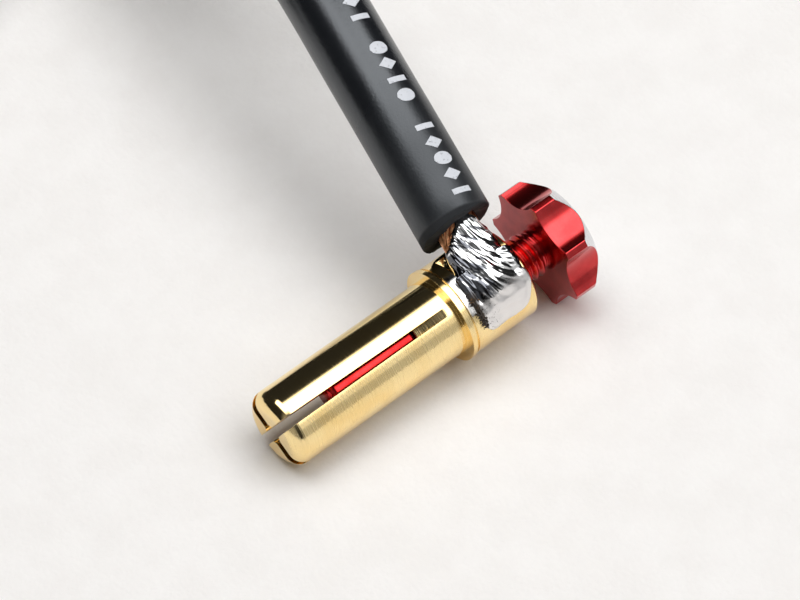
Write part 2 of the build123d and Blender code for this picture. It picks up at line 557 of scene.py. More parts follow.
@dataclass(frozen=True)
class Copper(Finish):
    """Bare copper strands, browned by the heat near the solder."""

    colour: tuple[float, float, float] = (0.90, 0.44, 0.22)
    brown: tuple[float, float, float] = (0.34, 0.13, 0.05)

    def shade(self, tree: Tree) -> dict[str, Value]:
        """Bright and browned patches.

        Args:
            tree: The material's tree.

        Returns:
            The shader's inputs, by name.
        """
        place = self.place(tree)
        patch = tree.noise(place, 1.6, 3.0)
        colour = tree.mix(patch.step(0.42, 0.62), self.colour, self.brown)
        return {"Base Color": colour, "Metallic": 1.0, "Roughness": 0.2 + patch * 0.2}


@dataclass(frozen=True)
class TinnedCopper(Finish):
    """Strands dipped in solder."""

    colour: tuple[float, float, float] = (0.80, 0.79, 0.77)

    def shade(self, tree: Tree) -> dict[str, Value]:
        """Slightly cloudy tin.

        Args:
            tree: The material's tree.

        Returns:
            The shader's inputs, by name.
        """
        patch = tree.noise(self.place(tree), 1.8, 3.0)
        return {"Base Color": self.colour, "Metallic": 1.0, "Roughness": 0.14 + patch * 0.2}


@dataclass(frozen=True)
class Silicone(Finish):
    """Black silicone rubber with a soft sheen, faint scuffs and dust, and a dull cut end whose colour is
    darkened as painted shade.

    The cut lies across the direction lean, cut_at from the middle of the plug's tip face.
    """

    colour: tuple[float, float, float] = (0.008, 0.009, 0.011)
    # colour of the painted shade on the cut end
    shaded_cut_colour: tuple[float, float, float] = (0.003, 0.003, 0.004)
    dust: tuple[float, float, float] = (0.16, 0.16, 0.165)
    sheen: tuple[float, float, float] = (0.90, 0.95, 1.0)
    lean: tuple[float, float, float] = (0.1977, 0.9512, 0.2371)
    cut_at: float = 6.438
    handled_from: float = 13.0
    handled_full: float = 4.0

    def shade(self, tree: Tree) -> dict[str, Value]:
        """Fine orange peel, scuffs and specks of dust.

        Args:
            tree: The material's tree.

        Returns:
            The shader's inputs, by name.
        """
        place = self.place(tree)
        along, beside, above = self.plug.coordinates(tree)
        handled = beside.step(self.handled_from, self.handled_full)
        from_cut = along * self.lean[0] + beside * self.lean[1] + above * self.lean[2] - self.cut_at
        cut = from_cut.step(0.22, -0.02)
        cloud = tree.noise(place, 0.4, 3.0)
        specks = tree.noise(place, 9.0, 2.0, 0.7).step(0.72, 0.76)
        peel = tree.noise(place, 5.5, 3.0)
        fine = tree.noise(place, 30.0, 2.0)
        colour = tree.mix(specks * 0.5, self.colour, self.dust)
        # painted shade: the cut end is coloured darker, and its roughness is raised as well
        colour = tree.mix(cut, colour, self.shaded_cut_colour)
        normal = tree.bump(peel, 0.012)
        normal = tree.bump(fine, 0.0025, normal)
        return {
            "Base Color": colour,
            "Roughness": 0.18 + cloud * 0.12 + handled * 0.20 + cut * 0.45,
            "Specular IOR Level": 0.80,
            "Specular Tint": self.sheen,
            "Normal": normal,
        }


@dataclass(frozen=True)
class Ink(Finish):
    """White ink on the lead, thin in places."""

    colour: tuple[float, float, float] = (0.62, 0.64, 0.68)
    thin: tuple[float, float, float] = (0.30, 0.31, 0.34)

    def shade(self, tree: Tree) -> dict[str, Value]:
        """Patches where the ink is thin.

        Args:
            tree: The material's tree.

        Returns:
            The shader's inputs, by name.
        """
        patch = tree.noise(self.place(tree), 5.0, 3.0, 0.6)
        colour = tree.mix(patch.step(0.55, 0.75), self.colour, self.thin)
        return {"Base Color": colour, "Roughness": 0.5}


@dataclass(frozen=True)
class Flux(Finish):
    """Crumbs of burnt flux, glassy and nearly black."""

    colour: tuple[float, float, float] = (0.022, 0.013, 0.007)
    amber: tuple[float, float, float] = (0.12, 0.06, 0.02)

    def shade(self, tree: Tree) -> dict[str, Value]:
        """Dark lumps with some amber in them.

        Args:
            tree: The material's tree.

        Returns:
            The shader's inputs, by name.
        """
        patch = tree.noise(self.place(tree), 3.0, 2.0)
        colour = tree.mix(patch.step(0.5, 0.7), self.colour, self.amber)
        return {"Base Color": colour, "Roughness": 0.22}


@dataclass(frozen=True)
class Strap(Finish):
    """Black woven strap of the tie round the hank."""

    colour: tuple[float, float, float] = (0.030, 0.030, 0.032)
    light: tuple[float, float, float] = (0.075, 0.075, 0.08)

    def shade(self, tree: Tree) -> dict[str, Value]:
        """A plain weave from two crossed waves.

        Args:
            tree: The material's tree.

        Returns:
            The shader's inputs, by name.
        """
        x, y, z = tree.parts(self.place(tree))
        warp = ((x + y) * 9.0).math("SINE")
        weft = ((x - y) * 9.0 + z * 12.0).math("SINE")
        weave = warp * weft * 0.5 + 0.5
        colour = tree.mix(weave, self.colour, self.light)
        return {"Base Color": colour, "Roughness": 0.6, "Normal": tree.bump(weave, 0.05)}


@dataclass(frozen=True)
class Paper(Finish):
    """Pale warm-grey card that the plug lies on."""

    colour: tuple[float, float, float] = (0.875, 0.855, 0.835)
    other: tuple[float, float, float] = (0.845, 0.822, 0.800)

    def shade(self, tree: Tree) -> dict[str, Value]:
        """Soft mottling and a fine tooth.

        Args:
            tree: The material's tree.

        Returns:
            The shader's inputs, by name.
        """
        place = self.place(tree)
        cloud = tree.noise(place, 0.28, 4.0, 0.6)
        tooth = tree.noise(place, 2.6, 3.0, 0.6)
        colour = tree.mix(cloud.step(0.3, 0.7), self.colour, self.other)
        return {"Base Color": colour, "Roughness": 0.85, "Normal": tree.bump(tooth, 0.05)}


def new_piece(name: str, vertices: Iterable, faces: Iterable, materials: Sequence) -> bpy.types.Object:
    """Makes a mesh object at the origin.

    Args:
        name: The piece's name.
        vertices: Corners.
        faces: Faces, as lists of corner numbers.
        materials: Materials of its slots.

    Returns:
        The object, linked to the scene.
    """
    mesh = bpy.data.meshes.new(name)
    mesh.from_pydata([tuple(v) for v in vertices], [], [tuple(f) for f in faces])
    for made in materials:
        mesh.materials.append(made)
    piece = bpy.data.objects.new(name, mesh)
    bpy.context.scene.collection.objects.link(piece)
    return piece


def baked(piece: bpy.types.Object) -> bpy.types.Object:
    """Turns a piece's modifiers into plain mesh and takes them off.

    Args:
        piece: The object.

    Returns:
        The same object.
    """
    graph = bpy.context.evaluated_depsgraph_get()
    graph.update()
    mesh = bpy.data.meshes.new_from_object(piece.evaluated_get(graph), depsgraph=graph)
    piece.modifiers.clear()
    piece.data = mesh
    return piece


def outward(piece: bpy.types.Object, weld: float = 1e-5) -> None:
    """Merges doubles, drops loose corners and points all faces outwards.

    Args:
        piece: The object, in millimetres.
        weld: Distance under which corners merge.
    """
    work = bmesh.new()
    work.from_mesh(piece.data)
    bmesh.ops.remove_doubles(work, verts=work.verts, dist=weld)
    bmesh.ops.delete(work, geom=[v for v in work.verts if not v.link_faces], context="VERTS")
    bmesh.ops.recalc_face_normals(work, faces=work.faces)
    work.to_mesh(piece.data)
    work.free()


def round_edges(piece: bpy.types.Object, width: float, past: float = -1e9, sharp: float = 30.0) -> None:
    """Rounds the sharp edges beyond a distance along the axis, and evens the shading.

    Args:
        piece: The object, in the plug's millimetres.
        width: Width of the rounding.
        past: Only edges past this distance along the axis are rounded.
        sharp: Least angle of a sharp edge, in degrees.
    """
    work = bmesh.new()
    work.from_mesh(piece.data)
    weights = work.edges.layers.float.new("bevel_weight_edge")
    for edge in work.edges:
        if len(edge.link_faces) == 2 and edge.calc_face_angle() > radians(sharp):
            edge[weights] = float(min(v.co.x for v in edge.verts) > past)
    work.to_mesh(piece.data)
    work.free()
    piece.data.shade_smooth()
    bevel = piece.modifiers.new("rounding", "BEVEL")
    bevel.limit_method = "WEIGHT"
    bevel.width = width
    bevel.segments = 2
    even = piece.modifiers.new("even", "WEIGHTED_NORMAL")
    even.weight = 60
    baked(piece)


def lay(piece: bpy.types.Object, matrix: Matrix) -> bpy.types.Object:
    """Moves a piece's mesh, and leaves its object at the origin.

    Args:
        piece: The object.
        matrix: From the mesh's own frame to the shared frame.

    Returns:
        The same object.
    """
    piece.data.transform(matrix)
    piece.data.update()
    return piece


class Growth:
    """A geometry tree with one named input for each of its sizes."""

    def __init__(self, name: str, values: dict) -> None:
        """Starts the tree.

        Args:
            name: Name of the tree and of the piece.
            values: Values of the inputs, by name, which also give their types.
        """
        group = bpy.data.node_groups.new(name, "GeometryNodeTree")
        for label, value in values.items():
            group.interface.new_socket(label, in_out="INPUT", socket_type=SOCKET_TYPES[type(value)])
        group.interface.new_socket("Geometry", in_out="OUTPUT", socket_type="NodeSocketGeometry")
        self.name = name
        self.values = values
        self.tree = Tree(group)
        source = self.tree.add("NodeGroupInput").socket.node
        self.given = {out.name: Sock(self.tree, out) for out in source.outputs}

    def bake(self, shape: Sock) -> bpy.types.Object:
        """Makes the shape real, gives it its finish and bakes it on an empty mesh.

        Args:
            shape: The tree's last geometry.

        Returns:
            The baked object.
        """
        tree, group = self.tree, self.tree.tree
        dress = {"Geometry": tree.add("GeometryNodeRealizeInstances", None, [shape])}
        if "Finish" in self.given:
            dress["Material"] = self.given["Finish"]
        dressed = tree.add("GeometryNodeSetMaterial", None, dress)
        tree.add("NodeGroupOutput", None, [dressed])
        piece = new_piece(self.name, [], [], [])
        modifier = piece.modifiers.new("grow", "NODES")
        modifier.node_group = group
        for item in group.interface.items_tree:
            if item.in_out == "INPUT":
                modifier[item.identifier] = self.values[item.name]
        return baked(piece)


def ring_quad(row: int, after: int, column: int, columns: int) -> list[int]:
    """Joins two rings of corners, from one column to the next one round.

    Args:
        row: Number of the first ring.
        after: Number of the second ring.
        column: The column.
        columns: Corners in a ring.

    Returns:
        Corner numbers of the quad.
    """
    beside = (column + 1) % columns
    here, there = row * columns, after * columns
    return [here + column, here + beside, there + beside, there + column]


def on_ring(along: float, radius: float, angle: float) -> tuple[float, float, float]:
    """Corner at a distance along the plug's axis, a radius, and an angle in degrees."""
    return along, radius * cos(radians(angle)), radius * sin(radians(angle))


@dataclass(frozen=True)
class PlugSizes:
    """Driving sizes of the plug, in millimetres and degrees. Angles run about the axis, from +Y up."""

    barrel_d: float = 5.0
    barrel_length: float = 12.8
    nose_radius: float = 0.9
    tip_hole_d: float = 1.36
    nose_wall: float = 1.6
    bore_d: float = 3.5
    bore_depth: float = 10.2
    bore_cone: float = 0.6
    slot_tip: float = 0.70
    slot_root: float = 0.56
    slot_end: float = 12.3
    saw_d: float = 16.0
    prongs: int = 4
    slot_turn: float = 29.7
    lip_d: float = 6.16
    lip_width: float = 0.32
    groove_d: float = 5.8
    groove_width: float = 0.2
    head_d: float = 6.0
    head_length: float = 4.6
    head_chamfer: float = 0.15
    trough_turn: float = 104.0
    trough_wall: float = 0.4
    trough_width: float = 3.5
    trough_floor: float = 1.85
    thread_hole_d: float = 3.1
    knob_gap: float = 2.2

    @property
    def head_front(self) -> float:
        """Distance of the head's front face."""
        return self.barrel_length + self.lip_width + self.groove_width

    @property
    def head_back(self) -> float:
        """Distance of the head's back face."""
        return self.head_front + self.head_length

    @property
    def trough_back(self) -> float:
        """Distance of the trough's wall beside the head's back rim."""
        return self.head_back - self.trough_wall

    @property
    def trough_front(self) -> float:
        """Distance of the trough's front wall."""
        return self.trough_back - self.trough_width

    @property
    def knob_front(self) -> float:
        """Distance of the knob's front face."""
        return self.head_back + self.knob_gap

    def joint(self) -> Matrix:
        """Turn from the trough's frame, in which Z points out of its floor, to the plug's frame."""
        return Matrix.Rotation(radians(self.trough_turn - 90), 4, "X")


@dataclass
class PlugBody:
    """Turned body: split barrel, lip, groove, head and trough, as one closed skin."""

    sizes: PlugSizes
    prong_steps: int = 42
    arc_steps: int = 8
    nose_steps: int = 10
    edge_round: float = 0.028

    def saw(self) -> tuple[float, float]:
        """Finds the centre of the saw where it stopped.

        Returns:
            Its distance along the axis, and its distance from it.
        """
        z = self.sizes
        run_out = z.slot_end - z.bore_depth
        rise = (z.barrel_d - z.bore_d) / 2
        chord = hypot(run_out, rise)
        bow = sqrt((z.saw_d / 2) ** 2 - chord**2 / 4)
        along = (z.slot_end + z.bore_depth) / 2 - bow * rise / chord
        out = (z.barrel_d + z.bore_d) / 4 + bow * run_out / chord
        return along, out

    def outline(self) -> list[tuple[float, float]]:
        """Draws the half section, from the slots' end round the back to the same end.

        Returns:
            Distances along the axis, and radii.
        """
        z = self.sizes
        r = z.barrel_d / 2
        lip_back = z.barrel_length + z.lip_width
        hole = z.thread_hole_d / 2
        bore = z.bore_d / 2
        tip = z.tip_hole_d / 2
        saw_along = self.saw()[0]
        points = [
            (z.slot_end, r), (z.barrel_length, r), (z.barrel_length, z.lip_d / 2), (lip_back, z.lip_d / 2),
            (lip_back, z.groove_d / 2), (z.head_front, z.groove_d / 2), (z.head_front, z.head_d / 2),
            (z.trough_front, z.head_d / 2), (z.trough_back, z.head_d / 2),
            (z.head_back - z.head_chamfer, z.head_d / 2), (z.head_back, z.head_d / 2 - z.head_chamfer),
            (z.head_back, hole), (z.bore_depth, hole), (z.bore_depth, bore), (saw_along, bore),
        ]
        for share in (0.0, 0.33, 0.67, 1.0):
            points.append((z.nose_wall + z.bore_cone * (1 - share), bore + (tip - bore) * share))
        points += [(z.nose_wall * 0.5, tip), (0.0, tip)]
        for step in range(self.nose_steps + 1):
            turn = pi / 2 * step / self.nose_steps
            points.append((z.nose_radius * (1 - cos(turn)), r - z.nose_radius * (1 - sin(turn))))
        points.append((saw_along, r))
        return points

    def slot_half(self, along: float) -> float:
        """Tapers the slot.

        Args:
            along: Distance along the axis.

        Returns:
            Half the slot's width there.
        """
        z = self.sizes
        share = (along + z.nose_radius) / (self.saw()[0] + z.nose_radius)
        return (z.slot_tip + (z.slot_root - z.slot_tip) * min(share, 1.0)) / 2

    def angles(self, along: float, radius: float) -> list[float]:
        """Spaces one ring's corners: four to each slot and an even row on each prong.

        Args:
            along: The ring's distance along the axis.
            radius: Its radius.

        Returns:
            Angles of the corners, in degrees.
        """
        z = self.sizes
        period = 360 / z.prongs
        edge = degrees(asin(self.slot_half(min(along, z.slot_end)) / min(radius, z.barrel_d / 2)))
        found = []
        for index in range(z.prongs):
            middle = z.slot_turn + index * period
            found += [middle - edge, middle - edge / 3, middle + edge / 3, middle + edge]
            width = period - 2 * edge
            found += [middle + edge + width * k / self.prong_steps for k in range(1, self.prong_steps)]
        if along > z.head_front - 0.01 and radius > z.thread_hole_d:
            for side in self.trough_edges():
                nearest = min(range(len(found)), key=lambda k: abs(found[k] - side))
                found[nearest] = side
        return found

    def trough_edges(self) -> tuple[float, float]:
        """Finds the trough's two long edges.

        Returns:
            Their angles, in degrees.
        """
        z = self.sizes
        half = degrees(atan2(sqrt((z.head_d / 2) ** 2 - z.trough_floor**2), z.trough_floor))
        return z.trough_turn - half, z.trough_turn + half

    def build(self, finish: GoldPlate) -> bpy.types.Object:
        """Builds the skin ring by ring, with the slots and the trough left open and then walled.

        Args:
            finish: Gold plate.

        Returns:
            The piece, in the plug's millimetres.
        """
        z = self.sizes
        outline = self.outline()
        rings = [self.angles(s, r) for s, r in outline]
        columns = len(rings[0])
        period = columns // z.prongs
        corners = [on_ring(s, r, a) for (s, r), ring in zip(outline, rings) for a in ring]
        bore_row = outline.index((z.bore_depth, z.bore_d / 2))
        trough_row = outline.index((z.trough_front, z.head_d / 2))
        low, high = self.trough_edges()
        wide = rings[trough_row]
        low_column = min(range(columns), key=lambda k: abs(wide[k] - low))
        high_column = min(range(columns), key=lambda k: abs(wide[k] - high))
        faces = []
        count = len(outline)
        for row in range(count):
            after = (row + 1) % count
            for column in range(columns):
                slot = row >= bore_row and column % period < 3
                trough = row == trough_row and low_column <= column < high_column
                if not slot and not trough:
                    faces.append(ring_quad(row, after, column, columns))
        faces += self.trough_faces(trough_row, columns, low_column, high_column)
        self.add_slots(outline, corners, faces, columns, period, bore_row)
        piece = new_piece("bullet_body", corners, faces, [finish.material()])
        outward(piece)
        round_edges(piece, self.edge_round)
        return piece

    def trough_faces(self, row: int, columns: int, low: int, high: int) -> list[list[int]]:
        """Floor and two walls of the trough.

        Args:
            row: Ring at the trough's front wall. The next ring is at its back wall.
            columns: Corners in a ring.
            low: Column at one long edge.
            high: Column at the other.

        Returns:
            Three faces.
        """
        front = [row * columns + k for k in range(low, high + 1)]
        back = [(row + 1) * columns + k for k in range(low, high + 1)]
        return [front, back, [front[0], front[-1], back[-1], back[0]]]

    def add_slots(
        self, outline: list, corners: list, faces: list, columns: int, period: int, bore_row: int
    ) -> None:
        """Adds each slot's two walls and the arc that the saw left at its end.

        Args:
            outline: Distances and radii of the rings.
            corners: Corners, which grow.
            faces: Faces, which grow.
            columns: Corners in a ring.
            period: Corners from one slot to the next.
            bore_row: Ring at the bore's floor, from which the slots are open.
        """
        z = self.sizes
        saw_along, saw_out = self.saw()
        saw_r = z.saw_d / 2
        first = atan2(z.bore_d / 2 - saw_out, z.bore_depth - saw_along)
        last = atan2(z.barrel_d / 2 - saw_out, z.slot_end - saw_along)
        for index in range(z.prongs):
            middle = radians(z.slot_turn + index * 360 / z.prongs)
            out = np.array((0.0, cos(middle), sin(middle)))
            aside = np.array((0.0, -sin(middle), cos(middle)))
            lines = []
            for column in range(4):
                start = index * period + column
                here = np.array(corners[bore_row * columns + start])
                there = np.array(corners[start])
                line = [bore_row * columns + start]
                for step in range(1, self.arc_steps):
                    share = step / self.arc_steps
                    turn = first + (last - first) * share
                    along = saw_along + saw_r * cos(turn)
                    high = saw_out + saw_r * sin(turn)
                    low_gap = here @ out - z.bore_d / 2
                    high_gap = there @ out - z.barrel_d / 2
                    high += low_gap + (high_gap - low_gap) * share
                    side = here @ aside + (there @ aside - here @ aside) * share
                    corners.append(tuple(np.array((along, 0.0, 0.0)) + out * high + aside * side))
                    line.append(len(corners) - 1)
                line.append(start)
                lines.append(line)
            for left, right in zip(lines, lines[1:]):
                for k in range(self.arc_steps):
                    faces.append([left[k], right[k], right[k + 1], left[k + 1]])
            for line in (lines[0], lines[-1]):
                column = line[-1]
                rows = [row * columns + column for row in range(bore_row + 1, len(outline))]
                faces.append(rows)
                faces.append([rows[0], *line, rows[-1]])


@dataclass
class ThumbScrew:
    """Thumb screw: plain pin, thread, scalloped knob, and a back cone turned bare."""

    sizes: PlugSizes
    thread_d: float = 3.0
    core_d: float = 2.46
    pitch: float = 0.5
    thread_length: float = 9.2
    thread_chamfer: float = 0.2
    thread_fade: float = 0.35
    thread_rise: float = 1.35
    thread_root: float = 0.1
    pin_d: float = 2.6
    pin_end: float = 4.0
    pin_cone: float = 0.4
    knob_d: float = 7.9
    rim: float = 1.5
    back_depth: float = 0.9
    back_d: float = 6.2
    face_share: float = 0.75
    lobes: int = 7
    land: float = 0.45
    scallop_depth: float = 0.8
    lobe_steps: int = 32
    turn_rows: int = 10
    edge_round: float = 0.06
    pole_r: float = 1e-4

    def profile(self, angle: float) -> float:
        """The knob's radius at an angle.

        Args:
            angle: Degrees about the axis.

        Returns:
            Radius in millimetres.
        """
        r = self.knob_d / 2
        half_pitch = 180 / self.lobes
        away = (angle + 90 + half_pitch) % (2 * half_pitch) - half_pitch
        open_half = half_pitch - degrees(asin(self.land / 2 / r))
        if abs(away) >= open_half - 0.1:
            return r
        chord_half = r * sin(radians(open_half))
        sagitta = self.scallop_depth - (r - r * cos(radians(open_half)))
        scallop_r = (chord_half**2 + sagitta**2) / (2 * sagitta)
        reach = r - self.scallop_depth + scallop_r
        turn = radians(away)
        return reach * cos(turn) - sqrt(scallop_r**2 - (reach * sin(turn)) ** 2)

    def thread(self, columns: int) -> bpy.types.Object:
        """Grows the thread: a tube whose radius rises and falls along a right-hand helix.

        Args:
            columns: Corners round it.

        Returns:
            The open tube, in millimetres.
        """
        growth = Growth("thread", {
            "Start": self.sizes.knob_front - self.thread_length,
            "Length": self.thread_length,
            "Pitch": self.pitch,
            "Core": self.core_d / 2,
            "Depth": (self.thread_d - self.core_d) / 2,
            "Fade": self.thread_fade,
            "Rows": int(self.thread_length / self.pitch * self.turn_rows),
            "Columns": columns + 1,
        })
        tree, given = growth.tree, growth.given
        counts = {"Vertices X": given["Rows"], "Vertices Y": given["Columns"]}
        grid = tree.add("GeometryNodeMeshGrid", None, {"Size X": 1.0, "Size Y": 1.0, **counts})
        x, y, _ = tree.parts(tree.add("GeometryNodeInputPosition"))
        share = x + 0.5
        turn = y + 0.5
        along = share * given["Length"]
        phase = (along / given["Pitch"] - turn).math("FRACT")
        wave = abs(phase * 2.0 - 1.0)
        crest = wave * self.thread_rise - self.thread_root
        crest = crest.math("MINIMUM", 1.0).math("MAXIMUM", 0.0)
        near = (along / given["Fade"]).math("MINIMUM", 1.0)
        far = ((given["Length"] - along) / given["Fade"]).math("MINIMUM", 1.0)
        radius = given["Core"] + given["Depth"] * crest * near * far
        angle = turn * (2 * pi)
        spot = tree.vector(given["Start"] + along, radius * angle.math("COSINE"), radius * angle.math("SINE"))
        moved = tree.add("GeometryNodeSetPosition", None, {"Geometry": grid, "Position": spot})
        welded = tree.add("GeometryNodeMergeByDistance", None, {"Geometry": moved, "Distance": 1e-4})
        return growth.bake(welded)

    def build(self, red: RedAnodised, bare: BareAluminium) -> bpy.types.Object:
        """Builds the pin and knob as rings, welds the thread between them and rounds the knob's edges.

        Args:
            red: Finish of all but the back.
            bare: Finish of the back cone and face.

        Returns:
            The piece, in the plug's millimetres.
        """
        columns = self.lobes * self.lobe_steps
        front = self.sizes.knob_front
        back = front + self.rim + self.back_depth
        core = self.core_d / 2
        pin = self.pin_d / 2
        thread_start = front - self.thread_length
        slope = (self.knob_d - self.back_d) / 2 / self.back_depth
        angles = [360 * k / columns for k in range(columns)]
        edge = [self.profile(a) for a in angles]
        cone_start = [front + self.rim + (self.knob_d / 2 - r) / slope for r in edge]
        flat = [1.0] * columns
        shank = [
            (self.pin_end, self.pole_r, flat), (self.pin_end, pin - self.pin_cone, flat),
            (self.pin_end + self.pin_cone, pin, flat),
            (thread_start - self.thread_chamfer, pin, flat), (thread_start, core, flat),
        ]
        red_knob = [
            (front, core, flat), (front, self.back_d / 2 * self.face_share, flat), (front, 1.0, edge),
        ]
        bare_back = [
            (cone_start, 1.0, edge), (back, self.back_d / 2, flat), (back, self.back_d / 4, flat),
            (back, self.pole_r, flat),
        ]
        rings = shank + red_knob + bare_back
        thread_row = len(shank) - 1
        bare_row = len(shank + red_knob)
        corners = []
        for along, radius, shape in rings:
            for k, angle in enumerate(angles):
                s = along[k] if isinstance(along, list) else along
                corners.append(on_ring(s, radius * shape[k], angle))
        rows = [row for row in range(len(rings) - 1) if row != thread_row]
        faces = [ring_quad(row, row + 1, column, columns) for row in rows for column in range(columns)]
        piece = new_piece("thumb_knob_turned", corners, faces, [red.material(), bare.material()])
        for face in piece.data.polygons:
            face.material_index = int(face.index // columns >= rows.index(bare_row))
        thread = self.thread(columns)
        work = bmesh.new()
        work.from_mesh(piece.data)
        work.from_mesh(thread.data)
        work.to_mesh(piece.data)
        work.free()
        bpy.data.objects.remove(thread)
        outward(piece, 5e-4)
        round_edges(piece, self.edge_round, front - 0.01)
        return piece


@dataclass
class LeadSizes:
    """Driving sizes of the lead, in millimetres and degrees, and where it crosses the head."""

    plug: PlugSizes
    jacket_d: float = 4.8
    inner_d: float = 2.8
    lead_height: float = 2.6
    lead_lean: float = 11.4
    lead_offset: float = 0.15

    @property
    def cross(self) -> float:
        """Distance along the plug's axis at which the lead's line crosses it."""
        return self.plug.trough_back - self.plug.trough_width / 2 - self.lead_offset

    def matrix(self) -> Matrix:
        """Frame of the lead at the plug, with Z along it and Y into the trough's floor."""
        place = Matrix.Translation((self.cross, 0.0, self.lead_height))
        lean = Matrix.Rotation(radians(-self.lead_lean), 4, "Z")
        return self.plug.joint() @ place @ lean @ Matrix.Rotation(-pi / 2, 4, "X")


@dataclass
class StrandBundle:
    """Strands of the conductor: a round bundle, twisted, that may be pressed flat at its start.

    Each layer is given by its radius and its count of wires, as shares of the outer layer's.
    """

    radius: float
    length: float
    flat_width: float
    flat_height: float
    flat_until: float
    round_from: float
    drop: float
    wires: int = 46
    wire_d: float = 0.145
    twist: float = 0.075
    steps: int = 40
    layers: tuple = ((1.0, 1.0), (0.72, 0.7), (0.42, 0.45))

    def build(self, name: str, finish: Finish) -> bpy.types.Object:
        """Grows the strands along Z from the origin.

        Args:
            name: The piece's name.
            finish: Its finish.

        Returns:
            The piece, in millimetres.
        """
        inner = self.wire_d / 2
        growth = Growth(name, {
            "Length": self.length, "Radius": self.radius - inner, "Flat width": self.flat_width - self.wire_d,
            "Flat height": self.flat_height - self.wire_d, "Flat until": self.flat_until,
            "Round from": self.round_from, "Drop": self.drop, "Twist": self.twist, "Wire": inner,
            "Wires": self.wires, "Steps": self.steps, "Finish": finish.material(),
        })
        tree, given = growth.tree, growth.given
        end = tree.vector(0.0, 0.0, given["Length"])
        line = tree.add("GeometryNodeCurvePrimitiveLine", None, {"Start": (0, 0, 0), "End": end})
        line = tree.add("GeometryNodeResampleCurve", None, {"Curve": line, "Count": given["Steps"]})
        circles = tree.add("GeometryNodeJoinGeometry")
        for share, count_share in self.layers:
            count = given["Wires"] * count_share
            circle = tree.add("GeometryNodeMeshCircle", None, {"Vertices": count, "Radius": share})
            tree.put(circles.socket.node.inputs[0], circle)
        placed = tree.add("GeometryNodeInstanceOnPoints", None, {"Points": circles, "Instance": line})
        lines = tree.add("GeometryNodeRealizeInstances", None, [placed])
        x, y, z = tree.parts(tree.add("GeometryNodeInputPosition"))
        wobble = tree.noise(tree.vector(x * 3.0, y * 3.0, z * 0.5), 1.6, 1.0) - 0.5
        angle = y.math("ARCTAN2", x) + z * given["Twist"] * (2 * pi) + wobble * 0.5
        layer_share = (x * x + y * y).math("SQRT") * (1.0 + wobble * 0.1)
        range_inputs = {"Value": z, "From Min": given["Flat until"], "From Max": given["Round from"]}
        flat = 1.0 - tree.add("ShaderNodeMapRange", {"interpolation_type": "SMOOTHSTEP"}, range_inputs)
        wide = given["Radius"] + (given["Flat width"] * 0.5 - given["Radius"]) * flat
        high = given["Radius"] + (given["Flat height"] * 0.5 - given["Radius"]) * flat
        spot = tree.vector(
            angle.math("COSINE") * layer_share * wide,
            angle.math("SINE") * layer_share * high + flat * given["Drop"],
            z,
        )
        bent = tree.add("GeometryNodeSetPosition", None, {"Geometry": lines, "Position": spot})
        ring = tree.add("GeometryNodeCurvePrimitiveCircle", None, {"Resolution": 7, "Radius": given["Wire"]})
        sweep = {"Curve": bent, "Profile Curve": ring, "Fill Caps": True}
        wires = tree.add("GeometryNodeCurveToMesh", None, sweep)
        return growth.bake(tree.add("GeometryNodeSetShadeSmooth", None, {"Geometry": wires}))


